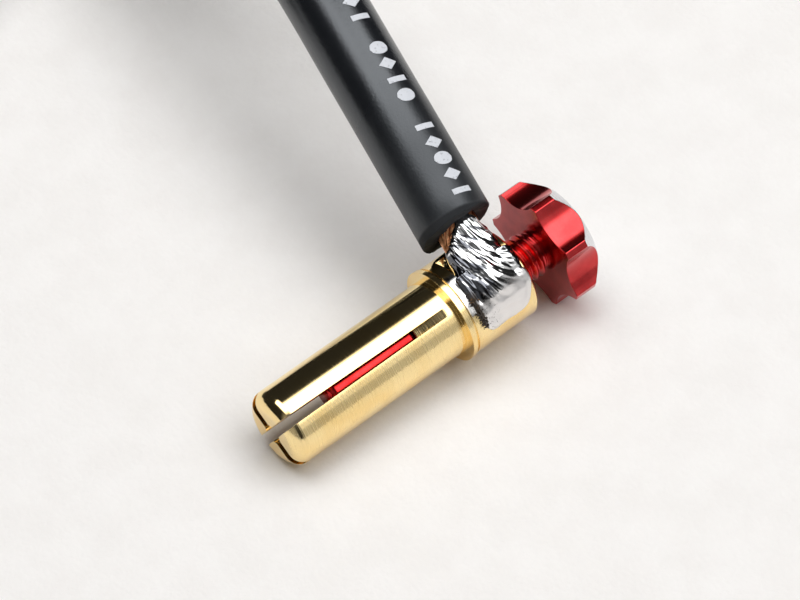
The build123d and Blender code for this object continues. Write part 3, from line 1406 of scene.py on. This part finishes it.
@dataclass
class SolderJoint:
    """Solder over the bundle and down the head's side, in the trough's frame: X along the axis, Z out."""

    lead: LeadSizes
    voxel: float = 0.042
    smoothing: int = 13
    around: int = 40
    squareness: float = 0.95
    skin_rows: int = 40
    skin_columns: int = 32
    skin_from: float = -6.0
    skin_middle: float = 30.0
    skin_sweep: float = 42.0
    skin_centre: float = 15.8
    skin_front: float = 2.1
    skin_back: float = 1.95
    skin_thick: float = 0.14
    skin_crest: float = 0.55
    skin_lip: float = 0.35
    skin_sink: float = 0.25
    skin_taper: float = 2.2
    front_power: float = 0.25
    back_power: float = 0.385
    ridge: float = 0.32
    ridge_turn: float = 30.0
    ridge_bend: float = 0.35
    ridge_height: float = 0.12
    ridge_end: float = 2.0
    ridge_long: float = 5.0
    fine_share: float = 0.45
    fine_long: float = 2.6
    fine_height: float = 0.42
    lump: float = 1.25
    lump_height: float = 0.16

    def stations(self) -> list[tuple[float, float, float, float, float]]:
        """Lists sections of the coated bundle, from the jacket's end to the end of the strands.

        Returns:
            Distance from the axis towards the jacket, front, back, top and bottom of each.
        """
        return [
            (3.55, 15.85, 16.75, 3.82, 2.2), (3.2, 15.62, 17.00, 4.00, 1.9), (2.7, 15.10, 17.36, 4.06, 1.6),
            (2.0, 14.38, 17.62, 3.92, 1.7), (1.2, 14.18, 17.60, 3.82, 1.7), (0.4, 13.95, 17.58, 3.72, 1.7),
            (-0.4, 13.75, 17.58, 3.60, 1.7), (-1.1, 13.64, 17.60, 3.36, 1.6), (-1.7, 13.62, 17.64, 2.98, 1.5),
            (-2.2, 13.65, 17.66, 2.46, 1.3), (-2.5, 13.85, 17.45, 2.00, 1.2),
        ]

    def bundle(self) -> tuple[list, list]:
        """Builds the coated bundle.

        Returns:
            Its corners and faces.
        """
        around = self.around
        corners = []
        stations = self.stations()
        for u, front, back, top, bottom in stations:
            for k in range(around):
                turn = 2 * pi * k / around
                z = (top + bottom) / 2 + (top - bottom) / 2 * sin(turn)
                wide = np.sign(cos(turn)) * abs(cos(turn)) ** self.squareness
                corners.append((float((front + back) / 2 + (back - front) / 2 * wide), u, z))
        last = len(stations) - 1
        faces = [ring_quad(row, row + 1, k, around) for row in range(last) for k in range(around)]
        faces += [list(range(around)), list(range(last * around, (last + 1) * around))]
        return corners, faces

    def skin(self) -> tuple[list, list]:
        """Builds the solder that ran down the near side of the head, round at its low end.

        Returns:
            Its corners and faces.
        """
        rows, columns = self.skin_rows, self.skin_columns
        head = self.lead.plug.head_d / 2
        top, low = [], []
        for i in range(rows + 1):
            share = i / rows
            away = self.skin_from + (self.skin_middle + self.skin_sweep - self.skin_from - 0.1) * share
            past = min(max(0.0, away - self.skin_middle) / self.skin_sweep, 0.997)
            open_share = 1 - past**self.skin_taper
            front = self.skin_centre - self.skin_front * open_share**self.front_power
            back = self.skin_centre + self.skin_back * open_share**self.back_power
            crest = self.skin_thick + (self.skin_crest - self.skin_thick) * max(0.0, 1 - 1.5 * share) ** 1.6
            for j in range(columns + 1):
                across = j / columns
                s = front + (back - front) * across
                edge = min(across, 1 - across) * (back - front)
                lip = 0.45 + 0.55 * min(1.0, edge / self.skin_lip) * min(1.0, 12 * (1 - share))
                r = head + crest * lip
                turn = radians(away)
                top.append((s, -r * sin(turn), r * cos(turn)))
                sunk = head - self.skin_sink
                low.append((s, -sunk * sin(turn), sunk * cos(turn)))
        width = columns + 1
        shift = len(top)
        faces = []
        for i in range(rows):
            for j in range(columns):
                quad = [i * width + j, i * width + j + 1, (i + 1) * width + j + 1, (i + 1) * width + j]
                faces.append(quad)
                faces.append([shift + k for k in reversed(quad)])
        rim = list(range(width)) + [i * width + columns for i in range(1, rows + 1)]
        rim += [rows * width + j for j in range(columns - 1, -1, -1)]
        rim += [i * width for i in range(rows - 1, 0, -1)]
        for k, corner in enumerate(rim):
            after = rim[(k + 1) % len(rim)]
            faces.append([corner, after, shift + after, shift + corner])
        return top + low, faces

    def wrinkle(self, points: np.ndarray) -> np.ndarray:
        """Height of the frozen ridges, lumps and grain.

        Args:
            points: Corners in the trough's frame.

        Returns:
            Heights in millimetres.
        """
        slope = tan(radians(self.lead.lead_lean))
        turn = radians(self.ridge_turn)
        heights = np.zeros(len(points))
        for k, (s, u, z) in enumerate(points):
            across = s - self.lead.cross - slope * u
            down = -u
            bend = turn * (1.0 + self.ridge_bend * across)
            along_ridge = across * sin(bend) + down * cos(bend)
            over_ridge = across * cos(bend) - down * sin(bend)
            lively = 1.0 / (1.0 + exp((down - self.ridge_end + 0.25 * across) * 5.0))
            spot = Vector((over_ridge / self.ridge, along_ridge / (self.ridge * self.ridge_long), 3.1))
            fine_width, fine_length = self.ridge * self.fine_share, self.ridge * self.fine_long
            fine = Vector((over_ridge / fine_width, along_ridge / fine_length, 7.7))
            lump = Vector((s, u, z)) / self.lump
            ridges = noise.noise(spot) + self.fine_height * noise.noise(fine)
            heights[k] = self.ridge_height * ridges * lively + self.lump_height * noise.noise(lump)
        return heights

    def build(self, finish: Solder) -> bpy.types.Object:
        """Melts the two shapes into one skin and wrinkles it.

        Args:
            finish: Solder.

        Returns:
            The piece, in the plug's millimetres.
        """
        corners, faces = self.bundle()
        skin_corners, skin_faces = self.skin()
        shift = len(corners)
        faces += [[shift + k for k in face] for face in skin_faces]
        piece = new_piece("solder_mass", corners + skin_corners, faces, [finish.material()])
        outward(piece)
        melt = piece.modifiers.new("melt", "REMESH")
        melt.mode = "VOXEL"
        melt.voxel_size = self.voxel
        smooth = piece.modifiers.new("smooth", "SMOOTH")
        smooth.factor = 0.5
        smooth.iterations = self.smoothing
        baked(piece)
        count = len(piece.data.vertices)
        points = np.empty(count * 3)
        piece.data.vertices.foreach_get("co", points)
        points = points.reshape(-1, 3)
        normals = np.array([v.normal for v in piece.data.vertices])
        points += normals * self.wrinkle(points)[:, None]
        piece.data.vertices.foreach_set("co", points.ravel())
        piece.data.update()
        piece.data.shade_smooth()
        return lay(piece, self.lead.plug.joint())


@dataclass
class FluxCrumbs:
    """Burnt flux that gathered along the solder's front edge."""

    sizes: PlugSizes
    count: int = 150
    crumb: float = 0.075
    low: float = 118.0
    high: float = 162.0
    band: float = 0.34
    ahead: float = 0.12
    lift: float = 0.14
    seed: int = 5

    def build(self, finish: Flux) -> bpy.types.Object:
        """Scatters crumbs over a narrow patch of the head.

        Args:
            finish: Flux.

        Returns:
            The piece, in the plug's millimetres.
        """
        growth = Growth("flux_crumbs", {
            "Along": self.sizes.trough_front - self.ahead, "Band": self.band,
            "Radius": self.sizes.head_d / 2 + self.lift, "Low": self.low, "High": self.high,
            "Crumb": self.crumb, "Count": self.count, "Seed": self.seed, "Finish": finish.material(),
        })
        tree, given = growth.tree, growth.given
        points = tree.add("GeometryNodePoints", None, {"Count": given["Count"]})

        def draw(low: Value, high: Value, shift: int) -> Sock:
            """Draws a random value between two limits for each crumb."""
            pairs = {2: low, 3: high, "Seed": given["Seed"] + shift}
            return tree.add("FunctionNodeRandomValue", {"data_type": "FLOAT"}, pairs, 1)

        angle = draw(given["Low"], given["High"], 0) * radians(1)
        along = given["Along"] + draw(-1.0, 1.0, 1) * draw(0.0, 1.0, 2) * given["Band"]
        radius = given["Radius"]
        spot = tree.vector(along, radius * angle.math("COSINE"), radius * angle.math("SINE"))
        placed = tree.add("GeometryNodeSetPosition", None, {"Geometry": points, "Position": spot})
        ball = tree.add("GeometryNodeMeshIcoSphere", None, {"Radius": given["Crumb"], "Subdivisions": 3})
        place = tree.add("GeometryNodeInputPosition")
        rough = tree.noise(place, 14.0, 2.0) * 0.7 + 0.6
        lumpy = tree.add("ShaderNodeVectorMath", {"operation": "SCALE"}, {0: place, "Scale": rough})
        ball = tree.add("GeometryNodeSetPosition", None, {"Geometry": ball, "Position": lumpy})
        size = draw(0.35, 1.15, 3)
        inputs = {
            "Points": placed, "Instance": ball, "Rotation": tree.vector(along * 9.0, angle * 7.0, 0.0),
            "Scale": tree.vector(size, size, size * 0.8),
        }
        crumbs = tree.add("GeometryNodeInstanceOnPoints", None, inputs)
        return growth.bake(tree.add("GeometryNodeSetShadeSmooth", None, {"Geometry": crumbs}))


class Mark(Enum):
    """Plain shapes of the print on the lead."""

    BAR = "bar"
    DOT = "dot"
    LOZENGE = "lozenge"

    def half_width(self, share: float) -> float:
        """Half the shape's length along the lead, as a share of its greatest.

        Args:
            share: Place across the shape, from -1 to 1.

        Returns:
            The share.
        """
        if self is Mark.BAR:
            return 0.42
        if self is Mark.DOT:
            return sqrt(max(0.0, 1 - share**2))
        return 1 - abs(share)


@dataclass
class Lead:
    """The lead: a tube of silicone along one smooth line, its put-away hank, and the print on it."""

    sizes: LeadSizes
    route: tuple = (
        (4.77, 2.56, 6.72), (5.97, 8.78, 8.35), (7.13, 14.78, 9.84), (8.14, 19.39, 10.76),
        (9.30, 24.60, 11.10), (8.90, 31.30, 9.80), (8.20, 38.30, 6.20), (8.55, 45.50, 2.80),
        (8.55, 53.80, 2.80),
    )
    lane: float = 4.9
    hank_run: float = 52.0
    last_run: float = 43.0
    fold_r: float = 15.5
    fold_steps: int = 9
    cord_length: float = 0.290
    around: int = 72
    ragged: float = 0.10
    slant: float = 0.36
    slant_turn: float = 155.0
    cut_shift: float = 0.12
    cut_edge: float = 0.05
    cut_taper: float = 0.985
    pole_r: float = 1e-4
    mouth_depth: float = 1.5
    mark_height: float = 1.24
    mark_length: float = 0.88
    mark_pitch: float = 1.16
    mark_first: float = 0.62
    mark_turn: float = 74.0
    mark_steps: int = 12
    ink: float = 0.012

    def control_points(self) -> list[Vector]:
        """Lists the control points: the route, and then the hank's runs and folds.

        Returns:
            The points, in metres.
        """
        points = [Vector(p) for p in self.route]
        start = points[-1].copy()
        near_r = self.fold_r - self.lane / 2
        grow = 1 / cos(pi / 2 / self.fold_steps)
        leg = 2 * self.fold_r * tan(pi / 2 / self.fold_steps)

        def run(x: float, y_from: float, y_to: float) -> None:
            """Adds points along a straight run.

            Args:
                x: Its place across the hank.
                y_from: Where it starts.
                y_to: Where it ends.
            """
            count = round(abs(y_to - y_from) / leg)
            for k in range(count):
                y = y_from + (y_to - y_from) * (k + 0.5) / count
                points.append(start + Vector((x, y, 0)))

        def fold(centre_x: float, y: float, radius: float, first: float) -> None:
            """Adds points round a half turn.

            Args:
                centre_x: Its centre across the hank.
                y: Its centre along the hank.
                radius: Its radius.
                first: Where it starts, in radians.
            """
            for k in range(self.fold_steps):
                turn = first + pi * (k + 0.5) / self.fold_steps
                spoke = Vector((cos(turn), sin(turn), 0)) * radius * grow
                points.append(start + Vector((centre_x, y, 0)) + spoke)

        run(0, 0, self.hank_run)
        fold(-self.fold_r, self.hank_run, self.fold_r, 0)
        run(-2 * self.fold_r, self.hank_run, 0)
        fold(-self.lane - near_r, 0, near_r, pi)
        run(-self.lane, 0, self.last_run)
        points.append(start + Vector((-self.lane, self.last_run, 0)))
        return [p * MM for p in points]

    def centre_line(self) -> np.ndarray:
        """Reads points from the smooth line of the lead.

        Returns:
            The points, in metres.
        """
        curve = bpy.data.curves.new("lead_line", "CURVE")
        curve.dimensions = "3D"
        curve.resolution_u = 10
        spline = curve.splines.new("NURBS")
        points = self.control_points()
        spline.points.add(len(points) - 1)
        for target, point in zip(spline.points, points):
            target.co = (*point, 1.0)
        spline.order_u = 3
        spline.use_endpoint_u = True
        line = bpy.data.objects.new("lead_line", curve)
        bpy.context.scene.collection.objects.link(line)
        graph = bpy.context.evaluated_depsgraph_get()
        mesh = bpy.data.meshes.new_from_object(line.evaluated_get(graph))
        found = np.array([v.co for v in mesh.vertices])
        bpy.data.objects.remove(line)
        gaps = np.linalg.norm(np.diff(found, axis=0), axis=1)
        return found[np.concatenate(([True], gaps > 1e-7))]

    def frames(self, line: np.ndarray) -> tuple[np.ndarray, np.ndarray, np.ndarray]:
        """Direction, side and top of the lead at each point.

        Args:
            line: The centre line.

        Returns:
            Three arrays of unit vectors.
        """
        ahead = np.gradient(line, axis=0)
        ahead /= np.linalg.norm(ahead, axis=1)[:, None]
        side = np.cross(ahead, (0.0, 0.0, 1.0))
        side /= np.linalg.norm(side, axis=1)[:, None]
        return ahead, side, np.cross(side, ahead)

    def build(self, finish: Silicone) -> tuple[bpy.types.Object, np.ndarray]:
        """Builds the jacket with a hollow, raggedly cut mouth at the plug.

        Args:
            finish: Silicone.

        Returns:
            The piece, in metres, and its centre line.
        """
        line = self.centre_line()
        ahead, side, top = self.frames(line)
        outer = self.sizes.jacket_d / 2 * MM
        inner = self.sizes.inner_d / 2 * MM
        turns = [2 * pi * k / self.around for k in range(self.around)]
        cut = []
        for turn in turns:
            jag = noise.noise(Vector((2.4 * cos(turn), 2.4 * sin(turn), 5.0))) * self.ragged
            jag += noise.noise(Vector((9 * cos(turn), 9 * sin(turn), 1.0))) * self.ragged * 0.35
            jag += self.cut_shift + self.slant * cos(turn - radians(self.slant_turn))
            cut.append(jag * MM)
        corners = []

        def ring(k: int, radius: float, back: float, follow: float) -> None:
            """Adds a ring of corners.

            Args:
                k: Number of its point on the line.
                radius: Its radius.
                back: How far it moves along the lead.
                follow: Share of the ragged cut that it follows.
            """
            for turn, jag in zip(turns, cut):
                spot = line[k] + ahead[k] * (back - jag * follow)
                corners.append(spot + (side[k] * cos(turn) + top[k] * sin(turn)) * radius)

        pole = self.pole_r * MM
        ring(0, pole, self.mouth_depth * MM, 0.0)
        ring(0, inner, self.mouth_depth * MM, 0.0)
        ring(0, inner, self.cut_edge * MM, 1.0)
        ring(0, (inner + outer) / 2, 0.0, 1.0)
        ring(0, outer * self.cut_taper, 0.0, 1.0)
        ring(0, outer, self.cut_edge * MM, 1.0)
        count = len(line)
        for k in range(1, count):
            ring(k, outer, 0.0, 0.0)
        ring(count - 1, inner, 0.0, 0.0)
        ring(count - 1, pole, 0.0, 0.0)
        last = len(corners) // self.around - 1
        faces = [ring_quad(row, row + 1, k, self.around) for row in range(last) for k in range(self.around)]
        piece = new_piece("silicone_lead", corners, faces, [finish.material()])
        outward(piece, 1e-6)
        piece.data.shade_smooth()
        piece.data.set_sharp_from_angle(angle=radians(50))
        return piece, line

    def print_marks(self, line: np.ndarray, finish: Ink) -> bpy.types.Object:
        """Lays a row of plain white shapes along the lead.

        Args:
            line: The lead's centre line.
            finish: Ink.

        Returns:
            The piece, in metres.
        """
        order = [Mark.BAR, Mark.LOZENGE, Mark.DOT, Mark.LOZENGE, Mark.BAR, None,
                 Mark.DOT, Mark.BAR, Mark.LOZENGE, Mark.DOT, None, Mark.BAR, Mark.LOZENGE, Mark.DOT]
        _, side, top = self.frames(line)
        run = np.concatenate(([0.0], np.cumsum(np.linalg.norm(np.diff(line, axis=0), axis=1)))) / MM
        radius = self.sizes.jacket_d / 2 + self.ink
        steps = self.mark_steps

        def at(rows: np.ndarray, s: float) -> np.ndarray:
            """Row of an array at a distance along the lead."""
            return np.array([np.interp(s, run, rows[:, c]) for c in range(3)])

        corners, faces = [], []
        for index, mark in enumerate(order):
            if mark is None:
                continue
            middle = self.mark_first + self.mark_length / 2 + index * self.mark_pitch
            first = len(corners)
            for i in range(steps + 1):
                share = 2 * i / steps - 1
                half = mark.half_width(share) * self.mark_length / 2
                turn = radians(self.mark_turn) + share * self.mark_height / 2 / radius
                for s in (middle - half, middle, middle + half):
                    out = at(side, s) * cos(turn) + at(top, s) * sin(turn)
                    corners.append(at(line, s) + out * radius * MM)
            for i in range(steps):
                for j in range(2):
                    a = first + i * 3 + j
                    faces.append([a, a + 1, a + 4, a + 3])
        piece = new_piece("print_marks", corners, faces, [finish.material()])
        thick = piece.modifiers.new("thickness", "SOLIDIFY")
        thick.thickness = self.ink * 1.6 * MM
        thick.offset = 0.0
        baked(piece)
        outward(piece, 1e-7)
        piece.data.shade_smooth()
        piece.data.set_sharp_from_angle(angle=radians(40))
        return piece


@dataclass
class Studio:
    """Floor, softbox, surroundings and camera. Lengths are in metres.

    Each pair named after an edge says where a fade is 0 and where it is 1. The softbox's fades are places
    on it. The surroundings' are parts of a direction, and low_front is an angle about X in degrees.
    """

    plug: PlugFrame
    azimuth: float = -39.776
    elevation: float = 51.142
    distance: float = 0.290
    lens: float = 216.8
    sensor: float = 36.0
    target: tuple = (0.002115, 0.00449, 0.0)
    floor_size: float = 6.0
    box_height: float = 0.60
    box_centre: tuple = (0.075, -0.375)
    box_size: tuple = (1.35, 1.75)
    box_radiance: float = 3.6
    back_edge: tuple = (0.31, 0.15)
    rear_edge: tuple = (0.10, -0.02)
    front_edge: tuple = (-0.42, -0.74)
    front_dim: float = 0.86
    left_edge: tuple = (-0.38, -0.20)
    right_edge: tuple = (0.70, 0.34)
    camera_edge_x: tuple = (0.18, -0.08)
    camera_edge_y: tuple = (0.05, -0.14)
    camera_dim: float = 0.98
    behind: float = 0.02
    front: float = 0.50
    low_front: tuple = (120.0, 155.0)
    front_edge_left: tuple = (-0.05, 0.3)
    front_edge_right: tuple = (0.85, 0.6)
    side: float = 0.35
    side_edge_x: tuple = (-0.3, -0.75)
    side_edge_y: tuple = (0.15, -0.2)
    backdrop: tuple = (0.86, 0.845, 0.83)

    def camera(self) -> None:
        """Sets the camera at the photograph's angle."""
        data = bpy.data.cameras.new("camera")
        data.lens = self.lens
        data.sensor_width = self.sensor
        data.clip_start = 0.01
        data.clip_end = 20.0
        eye = bpy.data.objects.new("camera", data)
        bpy.context.scene.collection.objects.link(eye)
        turn, lift = radians(self.azimuth), radians(self.elevation)
        back = Vector((sin(turn) * cos(lift), -cos(turn) * cos(lift), sin(lift)))
        eye.location = Vector(self.target) + back * self.distance
        eye.rotation_euler = (-back).to_track_quat("-Z", "Y").to_euler()
        bpy.context.scene.camera = eye

    def floor(self) -> None:
        """Lays the card."""
        half = self.floor_size / 2
        corners = [(-half, -half, 0), (half, -half, 0), (half, half, 0), (-half, half, 0)]
        card = new_piece("card", corners, [(0, 1, 2, 3)], [Paper(self.plug).material()])

    def softbox(self) -> None:
        """Hangs one large softbox overhead.

        It ends early at the back except on the left, dims to the front, and is dark beside the camera.
        """
        data = bpy.data.lights.new("softbox", "AREA")
        data.shape = "RECTANGLE"
        data.size, data.size_y = self.box_size
        data.energy = self.box_radiance * pi * self.box_size[0] * self.box_size[1]
        data.use_nodes = True
        tree = Tree(data.node_tree)
        x, y, _ = tree.parts(tree.add("ShaderNodeNewGeometry", None, None, "Position"))
        back = 1 - (1 - y.step(*self.back_edge)) * (1 - x.step(*self.rear_edge))
        front = 1 - self.front_dim * y.step(*self.front_edge)
        camera_side = self.camera_dim * x.step(*self.camera_edge_x) * y.step(*self.camera_edge_y)
        sides = x.step(*self.left_edge) * x.step(*self.right_edge)
        glow = back * front * sides * (1 - camera_side)
        emission = tree.add("ShaderNodeEmission", None, {"Color": tree.vector(glow, glow, glow)})
        tree.add("ShaderNodeOutputLight", None, {"Surface": emission})
        box = bpy.data.objects.new("softbox", data)
        box.location = (*self.box_centre, self.box_height)
        box.visible_camera = False
        bpy.context.scene.collection.objects.link(box)

    def surroundings(self) -> None:
        """Dark behind the plug, lighter low in front and on the left, and a pale backdrop for the camera."""
        world = bpy.data.worlds.new("surroundings")
        bpy.context.scene.world = world
        world.use_nodes = True
        tree = Tree(world.node_tree)
        x, y, z = tree.parts(tree.add("ShaderNodeTexCoord", None, None, "Generated"))
        angle = z.math("ARCTAN2", y) * degrees(1)
        low = angle.step(*self.low_front) * x.step(*self.front_edge_left) * x.step(*self.front_edge_right)
        left = x.step(*self.side_edge_x) * y.step(*self.side_edge_y)
        light = self.front * low + self.behind + self.side * left
        grey = tree.vector(light, light, light)
        glow = tree.add("ShaderNodeBackground", None, {"Color": grey, "Strength": 1.0})
        pale = tree.add("ShaderNodeBackground", None, {"Color": self.backdrop, "Strength": 1.0})
        seen = tree.add("ShaderNodeLightPath", None, None, "Is Camera Ray")
        both = tree.add("ShaderNodeMixShader", None, {0: seen, 1: glow, 2: pale})
        tree.add("ShaderNodeOutputWorld", None, {"Surface": both})

    def build(self) -> None:
        """Sets the whole studio up."""
        bpy.context.scene.view_settings.view_transform = "Standard"
        self.camera()
        self.floor()
        self.softbox()
        self.surroundings()


def settle(piece: bpy.types.Object, body: str, slot: str, *nodes: str) -> bpy.types.Object:
    """Ties a piece to its body, and hides the solids that it stands for.

    Args:
        piece: The object.
        body: The body that it rides on.
        slot: The record's material slot. Not used.
        nodes: The solids that it replaces.

    Returns:
        The same object.
    """
    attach(piece, body)
    if nodes:
        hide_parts(*nodes)
    LOG.info("%s: %d faces, on %s", piece.name, len(piece.data.polygons), body)
    return piece


def main() -> None:
    """Builds the plug, the screw, the joint and the lead, and then the studio."""
    logging.basicConfig(level=logging.INFO, format="%(name)s %(message)s")
    plug = PlugFrame.from_frame(frame)
    sizes = PlugSizes()
    lead_sizes = LeadSizes(sizes)
    to_row = plug.matrix()
    Studio(plug).build()

    lead = Lead(lead_sizes)
    jacket, line = lead.build(Silicone(plug))
    settle(jacket, PLUG, "black_silicone", "lead_jacket", "lead_hank")
    marks = settle(lead.print_marks(line, Ink(plug)), PLUG, "black_silicone")

    body = lay(PlugBody(sizes).build(GoldPlate(plug)), to_row)
    settle(body, PLUG, "gold_plate", "plug_body")
    screw = lay(ThumbScrew(sizes).build(RedAnodised(plug), BareAluminium(plug)), to_row)
    settle(screw, SCREW, "red_anodised", "thumb_knob")
    solder = lay(SolderJoint(lead_sizes).build(Solder(plug)), to_row)
    settle(solder, PLUG, "solder", "solder_joint")
    crumbs = lay(FluxCrumbs(sizes).build(Flux(plug)), to_row)
    settle(crumbs, PLUG, "solder")

    bundle = StrandBundle(
        radius=1.36, length=3.7, flat_width=2.8, flat_height=1.6, flat_until=1.4, round_from=2.6, drop=-0.1,
    )
    strands = bundle.build("copper_bundle", Copper(plug))
    lay(strands, to_row @ lead_sizes.matrix() @ Matrix.Translation((0, 0, BUNDLE_FROM)))
    settle(strands, PLUG, "copper", "copper_strands")

    far = Vector(line[-1])
    away = (far - Vector(line[-2])).normalized()
    end = StrandBundle(
        radius=1.34, length=6.8, flat_width=2.7, flat_height=2.7, flat_until=0.0, round_from=0.1, drop=0.0,
    )
    tinned = end.build("tinned_bundle", TinnedCopper(plug))
    turn = away.to_track_quat("Z", "Y").to_matrix().to_4x4()
    lay(tinned, Matrix.Translation(far - away * TINNED_OVERLAP * MM) @ turn @ Matrix.Scale(MM, 4))
    settle(tinned, PLUG, "tinned_copper", "tinned_end")

    tie = frame["nodes"]["hank_tie"]
    tie.data.materials.clear()
    tie.data.materials.append(Strap(plug).material())


if __name__ == "__main__":
    main()
